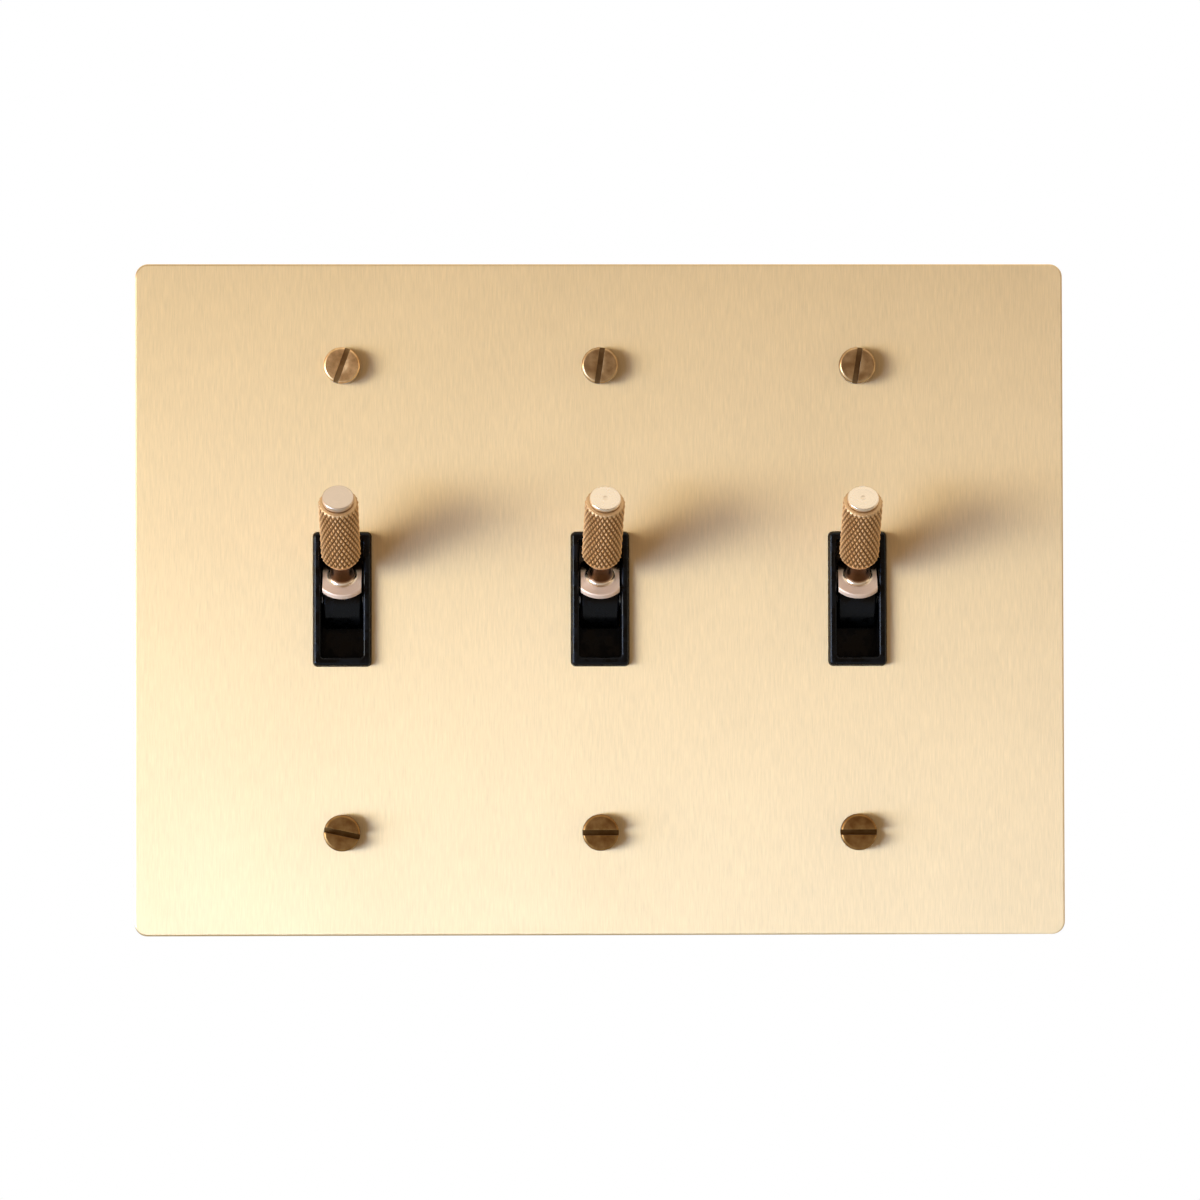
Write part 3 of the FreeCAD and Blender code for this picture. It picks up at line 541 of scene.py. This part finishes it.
def lever_matrix(gang):
    """Puts a piece turned about Z, with its foot at the pivot, on the lever at rest."""
    low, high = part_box(gang + "_pivot_pin")
    return Matrix.Translation((low + high) / 2) @ Matrix.Rotation(math.pi / 2 - LEVER_TILT, 4, "X")


def lean_matrix(gang):
    """The lean to the side, about the middle of the collar's top."""
    centre = Matrix.Translation((0, 0, COLLAR_END * MM))
    return centre @ Matrix.Rotation(LEVER_LEAN[gang], 4, "Y") @ centre.inverted()


def ramped(value, start, length):
    """0 before the start, 1 after the length, and even in between."""
    return max(0.0, min(1.0, (value - start) / length))


def lever_stem(gang):
    """Collar with two flats, waisted neck and rod, satin on the collar, with painted shade in dark brown on the
    collar's rear and on the neck.
    """
    waist_start = COLLAR_END + NECK_FILLET
    neck = []
    for k in range(13):
        share = k / 12
        base = NECK_BASE_RADIUS + (NECK_TOP_RADIUS - NECK_BASE_RADIUS) * share
        sag = (NECK_BASE_RADIUS + NECK_TOP_RADIUS) / 2 - NECK_WAIST_RADIUS
        radius = base - sag * math.sin(math.pi * share) ** 1.3
        neck.append((radius, waist_start + (GRIP_START - waist_start) * share))
    fillet = arc(NECK_BASE_RADIUS + NECK_FILLET, waist_start, NECK_FILLET, 270, 180)
    profile = [
        (0, SPIGOT_START),
        (BORE_RADIUS, SPIGOT_START),
        (BORE_RADIUS, COLLAR_START),
        (COLLAR_RADIUS - COLLAR_CHAMFER, COLLAR_START),
        (COLLAR_RADIUS, COLLAR_START + COLLAR_CHAMFER),
        (COLLAR_RADIUS, COLLAR_END - COLLAR_CHAMFER),
        (COLLAR_RADIUS - COLLAR_CHAMFER, COLLAR_END),
        *fillet,
        *neck[1:],
        (BORE_RADIUS, GRIP_START),
        (BORE_RADIUS, STEM_END),
        (0, STEM_END),
    ]
    made = lathe(gang + "_turned_stem", profile)
    cut_side(made, COLLAR_FLAT * MM, True)
    cut_side(made, -COLLAR_FLAT * MM, False)
    lean = lean_matrix(gang)
    satin = made.data.attributes.new("satin", "FLOAT", "POINT")
    painted_shade = made.data.attributes.new("painted_shade", "FLOAT", "POINT")
    for vertex, satin_value, painted_shade_value in zip(made.data.vertices, satin.data, painted_shade.data):
        above = vertex.co.z > COLLAR_END * MM + 1e-7
        # Painted shade: behind the axis the collar loses its satin and turns dark brown, and so does the neck
        # above it
        behind_neck = ramped(vertex.co.y / MM, COLLAR_SHADE_START, COLLAR_SHADE_LENGTH)
        satin_value.value = 0.0 if above else 1.0 - behind_neck
        on_neck = ramped(vertex.co.z / MM, COLLAR_END + NECK_SHADE_START, NECK_SHADE_LENGTH)
        painted_shade_value.value = max(on_neck, behind_neck)
        if above:
            vertex.co = lean @ vertex.co
    return made


def knurl_height(i, j):
    """The share of the knurl's height at a grid point, from 0 in a groove to 1 on a land."""
    u = (i + j) / KNURL_SAMPLES
    v = (i - j) / KNURL_SAMPLES
    near = min(abs(u - round(u)), abs(v - round(v))) * 2
    return min(near / KNURL_LAND, 1.0)


def knurled_grip(gang):
    """The sleeve: diamond knurl cut into a turned bar with a chamfer at each end, and a bore."""
    count = KNURL_AROUND * KNURL_SAMPLES
    step = (KNURL_END - KNURL_START) / (KNURL_ALONG * KNURL_SAMPLES)
    heights = [(GRIP_START, -2), (KNURL_START - step, -1)]
    heights += [(KNURL_START + step * j, j) for j in range(KNURL_ALONG * KNURL_SAMPLES + 1)]
    shoulder_start = GRIP_END - SHOULDER_HEIGHT
    heights = [pair for pair in heights if pair[0] < shoulder_start - 0.02]
    heights += [(shoulder_start + SHOULDER_HEIGHT * k / 6, KNURL_ALONG * KNURL_SAMPLES) for k in range(7)]
    verts = []
    groove = []
    turned = []
    rows = []
    depth = KNURL_PEAK_RADIUS - KNURL_VALLEY_RADIUS
    for height, j in heights:
        rows.append(list(range(len(verts), len(verts) + count)))
        rise = max(0.0, height - shoulder_start) / SHOULDER_HEIGHT
        limit = min(
            GRIP_LOW_RADIUS + (height - GRIP_START) * GRIP_LOW_SLOPE,
            SHOULDER_RADIUS + (KNURL_PEAK_RADIUS - SHOULDER_RADIUS) * math.sqrt(max(0.0, 1 - rise * rise)),
        )
        for i in range(count):
            share = knurl_height(i, j)
            radius = min(KNURL_VALLEY_RADIUS + depth * share, limit)
            turn = 2 * math.pi * i / count
            verts.append((radius * math.cos(turn) * MM, radius * math.sin(turn) * MM, height * MM))
            top = min(limit, KNURL_PEAK_RADIUS)
            groove.append(ramped(top - radius, 0.0, depth))
            turned.append(1.0 if rise > 0.3 else 0.0)
    faces = []
    for row, ((_, j), low, high) in enumerate(zip(heights, rows, rows[1:])):
        for i in range(count):
            k = (i + 1) % count
            if (i - j) % KNURL_SAMPLES == 0 or (i + j + 1) % KNURL_SAMPLES != 0 and (i + j) % 2:
                faces += [(low[i], low[k], high[k]), (low[i], high[k], high[i])]
            else:
                faces += [(low[i], low[k], high[i]), (low[k], high[k], high[i])]
    bore_rows = []
    for height in (GRIP_START, GRIP_END):
        bore_rows.append(list(range(len(verts), len(verts) + count)))
        for i in range(count):
            turn = 2 * math.pi * i / count
            verts.append((BORE_RADIUS * math.cos(turn) * MM, BORE_RADIUS * math.sin(turn) * MM, height * MM))
            groove.append(0.0)
            turned.append(1.0)
    faces += ring_faces(bore_rows[0], rows[0], count)
    faces += ring_faces(rows[-1], bore_rows[1], count)
    faces += ring_faces(bore_rows[1], bore_rows[0], count)
    made = new_object(gang + "_knurled_grip", verts, faces)
    made.data.attributes.new("groove", "FLOAT", "POINT").data.foreach_set("value", groove)
    made.data.attributes.new("turned", "FLOAT", "POINT").data.foreach_set("value", turned)
    made.data.transform(lean_matrix(gang))
    return made


def cap_screw(gang):
    """The cap on top of the grip, with its shank and, on two of them, a centre mark."""
    top = CAP_START + CAP_THICKNESS[gang]
    mark = CAP_MARK_RADIUS[gang]
    profile = [
        (0, CAP_SHANK_START),
        (BORE_RADIUS, CAP_SHANK_START),
        (BORE_RADIUS, GRIP_END),
        (CAP_GROOVE_RADIUS, GRIP_END),
        (CAP_GROOVE_RADIUS, CAP_START),
        *arc(CAP_RADIUS - CAP_EDGE, CAP_START + CAP_EDGE, CAP_EDGE, 270, 360),
        *arc(CAP_RADIUS - CAP_EDGE, top - CAP_EDGE, CAP_EDGE, 0, 90),
        (CAP_RADIUS * 0.6, top),
        (CAP_RADIUS * 0.3, top),
    ]
    if mark > 0:
        profile += [(mark + 0.06, top), (mark, top - 0.02), (0, top - CAP_MARK_DEPTH)]
    else:
        profile.append((0, top))
    made = lathe(gang + "_turned_cap", profile)
    made.data.transform(lean_matrix(gang))
    return made


def screw_head(slot_angle):
    """A slotted cylinder head along Z with its face at the bottom."""
    face = -SCREW_HEAD_HEIGHT
    edge = SCREW_HEAD_EDGE
    profile = [
        (0, face),
        (SCREW_HEAD_RADIUS * 0.5, face),
        *arc(SCREW_HEAD_RADIUS - edge, face + edge, edge, 270, 360),
        (SCREW_HEAD_RADIUS, 0),
        (SCREW_NECK_RADIUS, 0),
        (SCREW_NECK_RADIUS, SCREW_THREAD_START + 0.2),
        (0, SCREW_THREAD_START + 0.2),
    ]
    head = lathe("screw_head", profile, 96)
    tool = bpy.data.meshes.new("slot_tool")
    work = bmesh.new()
    bmesh.ops.create_cube(work, size=1.0)
    reach = 2 * SCREW_HEAD_RADIUS + 2
    size = Matrix.Diagonal((SCREW_SLOT_WIDTH * MM, reach * MM, 2 * SCREW_SLOT_DEPTH * MM, 1))
    turn = Matrix.Rotation(-math.radians(slot_angle), 4, "Z")
    bmesh.ops.transform(work, matrix=Matrix.Translation((0, 0, face * MM)) @ turn @ size, verts=work.verts)
    work.to_mesh(tool)
    work.free()
    cutter = bpy.data.objects.new("slot_tool", tool)
    bpy.context.scene.collection.objects.link(cutter)
    cut = head.modifiers.new("slot", "BOOLEAN")
    cut.operation = "DIFFERENCE"
    cut.solver = "EXACT"
    cut.object = cutter
    ease = head.modifiers.new("ease", "BEVEL")
    ease.width = 0.06 * MM
    ease.segments = 2
    ease.limit_method = "ANGLE"
    ease.angle_limit = math.radians(50)
    apply_modifiers(head)
    bpy.data.objects.remove(cutter)
    return head


def screw_thread():
    """The threaded shank along Z, a helical ridge between two plain ends."""
    around = 32
    per_pitch = 6
    start = SCREW_THREAD_START
    rows_count = int((SCREW_LENGTH - start) / SCREW_PITCH * per_pitch)
    verts = []
    rows = []
    for k in range(rows_count + 1):
        height = start + (SCREW_LENGTH - start) * k / rows_count
        limit = min(
            SCREW_THREAD_RADIUS - SCREW_TIP_CHAMFER + (SCREW_LENGTH - height),
            SCREW_NECK_RADIUS + (height - start) * 0.7,
        )
        rows.append(list(range(len(verts), len(verts) + around)))
        for i in range(around):
            phase = (height / SCREW_PITCH - i / around) % 1.0
            share = min(1.0, abs(phase - 0.5) * 2 * 1.25)
            radius = SCREW_THREAD_RADIUS - (SCREW_THREAD_RADIUS - SCREW_ROOT_RADIUS) * share
            radius = min(radius, limit)
            turn = 2 * math.pi * i / around
            verts.append((radius * math.cos(turn) * MM, radius * math.sin(turn) * MM, height * MM))
    faces = []
    for low, high in zip(rows, rows[1:]):
        faces += ring_faces(low, high, around)
    for height, row, outward in ((start, rows[0], False), (SCREW_LENGTH, rows[-1], True)):
        centre = len(verts)
        verts.append((0.0, 0.0, height * MM))
        faces += ring_faces(row, [centre], around) if outward else ring_faces([centre], row, around)
    return new_object("screw_thread", verts, faces)


def joined(name, parts):
    """One object from several, each given with the matrix that puts it in place."""
    work = bmesh.new()
    for part, matrix in parts:
        part.data.transform(matrix)
        work.from_mesh(part.data)
        bpy.data.objects.remove(part)
    mesh = bpy.data.meshes.new(name)
    work.to_mesh(mesh)
    work.free()
    made = bpy.data.objects.new(name, mesh)
    bpy.context.scene.collection.objects.link(made)
    return made


def box_screws():
    """The six screws, in line with the levers and as far up and down as their CAD node says."""
    plate_low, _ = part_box("face_plate")
    low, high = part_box("plate_screws")
    reach = high.z - SCREW_HEAD_RADIUS * MM
    into_wall = Matrix.Rotation(-math.pi / 2, 4, "X")
    parts = []
    for gang in GANGS:
        pin_low, pin_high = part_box(gang + "_pivot_pin")
        x = (pin_low.x + pin_high.x) / 2
        for side in (1, -1):
            place = Matrix.Translation((x, plate_low.y, side * reach)) @ into_wall
            parts.append((screw_head(-SCREW_SLOT_ANGLES[(gang, side)]), place))
            parts.append((screw_thread(), place))
    return joined("box_screws_slotted", parts)


def soft_box(name, height_degrees, distance, size, energy, colour):
    """A square lamp on the left that looks at the plate's centre."""
    rise = math.radians(height_degrees)
    toward_lamp = Vector((-LAMP_SIDE * math.cos(rise), -LAMP_FRONT * math.cos(rise), math.sin(rise)))
    data = bpy.data.lights.new(name, "AREA")
    data.shape = "SQUARE"
    data.size = size
    data.energy = energy
    data.color = colour
    lamp = bpy.data.objects.new(name, data)
    bpy.context.scene.collection.objects.link(lamp)
    lamp.location = toward_lamp * distance
    lamp.rotation_mode = "QUATERNION"
    lamp.rotation_quaternion = (-toward_lamp).to_track_quat("-Z", "Y")


# Materials for the record's slots

slot_materials = {
    "satin_brass": brushed_plate_material(),
    "antique_brass": antique_material(),
    "lever_brass": turned_material("turned_brass", (0.84, 0.67, 0.47), 0.27),
    "terminal_brass": metal_material("terminal_brass_rolled", (0.72, 0.55, 0.28), 0.34),
    "copper": metal_material("copper_rolled", (0.78, 0.42, 0.28), 0.3),
    "plated_steel": metal_material("zinc_plated_steel", (0.62, 0.63, 0.64), 0.36, 500.0, 0.1),
    "spring_steel": metal_material("spring_steel_drawn", (0.5, 0.5, 0.5), 0.3),
    "green_steel": metal_material("green_plated_steel", (0.1, 0.34, 0.16), 0.4),
    "black_moulding": moulded_material(
        "black_moulding_gloss", (0.0006, 0.0006, 0.0006), 0.1, specular=0.2, smear=0.35
    ),
    "housing_moulding": moulded_material("housing_moulding_matt", (0.03, 0.03, 0.032), 0.5, 0.03 * MM, 1800.0),
    "rocker_moulding": moulded_material("rocker_moulding_cream", (0.72, 0.66, 0.52), 0.42),
}
knurled = knurl_material()
worn_cap = turned_material("turned_brass_worn", (0.68, 0.52, 0.37), 0.33)

for part in frame["record"]["subparts"]:
    for shown_slot in frame["nodes"][part["node"]].material_slots:
        shown_slot.material = slot_materials[part["material_slot"]]

# Pieces that replace CAD nodes

for gang in GANGS:
    matrix = lever_matrix(gang)
    cap_brass = worn_cap if gang == "left" else slot_materials["lever_brass"]
    for make, node, material, angle in (
        (lever_stem, "_lever_stem", slot_materials["lever_brass"], 30),
        (knurled_grip, "_grip", knurled, 12),
        (cap_screw, "_lever_cap", cap_brass, 30),
    ):
        piece = make(gang)
        piece.data.transform(matrix)
        shade_smooth(piece, angle)
        piece.data.materials.append(material)
        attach(piece, gang + "_lever")
        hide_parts(gang + node)

screws = box_screws()
shade_smooth(screws, 30)
screws.data.materials.append(slot_materials["antique_brass"])
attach(screws, "plate")
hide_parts("plate_screws")

# Stage: a pale floor well below the plate

floor = new_object(
    "floor",
    [(x * FLOOR_HALF_SIZE, y * FLOOR_HALF_SIZE, FLOOR_HEIGHT) for x, y in ((-1, -1), (1, -1), (1, 1), (-1, 1))],
    [(0, 1, 2, 3)],
)
floor_material, floor_tree = blank_material("pale_floor")
ray = add(floor_tree, "ShaderNodeLightPath")
floor_cloud = noise(floor_tree, object_place(floor_tree), 40, 3.0)
floor_colour = tinted(floor_tree, (0.82, 0.82, 0.81), spread(floor_tree, floor_cloud, 0.99, 1.01))
floor_paint = add(floor_tree, "ShaderNodeBsdfPrincipled", {"Base Color": floor_colour, "Roughness": 0.8})
floor_white = add(floor_tree, "ShaderNodeEmission", {"Color": (1, 1, 1, 1), "Strength": 1.0})
floor_share = math_node(floor_tree, "MULTIPLY", ray.outputs["Is Camera Ray"], FLOOR_WHITE)
finish_material(
    floor_tree,
    add(floor_tree, "ShaderNodeMixShader", {0: floor_share, 1: floor_paint.outputs[0], 2: floor_white.outputs[0]}),
)
floor.data.materials.append(floor_material)

# World: white to the camera, a plain grey level as light, and a soft studio for reflections. The
# studio is a ramp in height, with a bright window far to the left, a wall far to the right, and
# white behind the plate's plane.

world = bpy.data.worlds.new("studio")
bpy.context.scene.world = world
world.use_nodes = True
sky = world.node_tree
sky.nodes.clear()
direction = add(sky, "ShaderNodeTexCoord").outputs["Generated"]
toward = add(sky, "ShaderNodeSeparateXYZ", {"Vector": direction}).outputs
height_share = spread(sky, toward["Z"], 0.0, 1.0, -1.0, 1.0)
ramp = add(sky, "ShaderNodeValToRGB", {"Fac": height_share})
while len(ramp.color_ramp.elements) < len(STUDIO_LEVELS):
    ramp.color_ramp.elements.new(0.5)
for element, (place, level, warmth) in zip(ramp.color_ramp.elements, STUDIO_LEVELS):
    element.position = place
    element.color = (*[level * (1.0 + warmth * (tone - 1.0)) for tone in WARM], 1.0)
sideways = spread(sky, toward["X"], 1.15, 1.05, -1.0, 1.0)
window = spread(sky, toward["X"], 0.0, 1.0, -0.65, -0.92)
far_wall = spread(sky, toward["X"], 0.0, 1.0, 0.78, 0.97)
behind = spread(sky, toward["Y"], 0.0, 0.9, 0.0, 0.35)
side_lit = mixed(sky, window, ramp.outputs["Color"], WINDOW_COLOUR)
both_lit = mixed(sky, far_wall, side_lit, FAR_WALL_COLOUR)
room = mixed(sky, behind, both_lit, (1.0, 1.0, 1.0))
path = add(sky, "ShaderNodeLightPath").outputs
seen = math_node(sky, "MAXIMUM", path["Is Camera Ray"], path["Is Transmission Ray"])
soft_light = add(sky, "ShaderNodeBackground", {"Color": (1, 1, 1, 1), "Strength": SOFT_LIGHT})
studio = add(sky, "ShaderNodeBackground", {"Color": room, "Strength": sideways})
white = add(sky, "ShaderNodeBackground", {"Color": (1, 1, 1, 1), "Strength": 1.0})
lit = add(sky, "ShaderNodeMixShader", {0: path["Is Glossy Ray"], 1: soft_light.outputs[0], 2: studio.outputs[0]})
all_rays = add(sky, "ShaderNodeMixShader", {0: seen, 1: lit.outputs[0], 2: white.outputs[0]})
add(sky, "ShaderNodeOutputWorld", {"Surface": all_rays.outputs[0]})

# Two soft boxes: the key, level with the levers, and a broad, bluer one further down, which lights the
# plate's lower part most

soft_box("key", 0.0, 1.5, 0.5, 8.1, (0.95, 1.0, 0.93))
soft_box("low_fill", -26.0, 1.4, 1.2, 71.0, (0.355, 0.535, 1.0))

# Camera

camera_data = bpy.data.cameras.new("camera")
camera_data.sensor_width = SENSOR_WIDTH
camera_data.lens = SENSOR_WIDTH * CAMERA_SCALE * CAMERA_DISTANCE / PICTURE_WIDTH
camera_data.clip_start = 0.05
camera_data.clip_end = 50.0
camera = bpy.data.objects.new("camera", camera_data)
bpy.context.scene.collection.objects.link(camera)
plate_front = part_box("face_plate")[0].y
camera_turn = (
    Matrix.Rotation(math.radians(CAMERA_YAW), 4, "Z")
    @ Matrix.Rotation(math.pi / 2 + math.radians(CAMERA_PITCH), 4, "X")
    @ Matrix.Rotation(-math.radians(CAMERA_ROLL), 4, "Z")
)
camera_place = Matrix.Translation((CAMERA_RIGHT * MM, plate_front - CAMERA_DISTANCE * MM, CAMERA_UP * MM))
camera.matrix_world = camera_place @ camera_turn
bpy.context.scene.camera = camera

bpy.context.scene.view_settings.view_transform = "Standard"
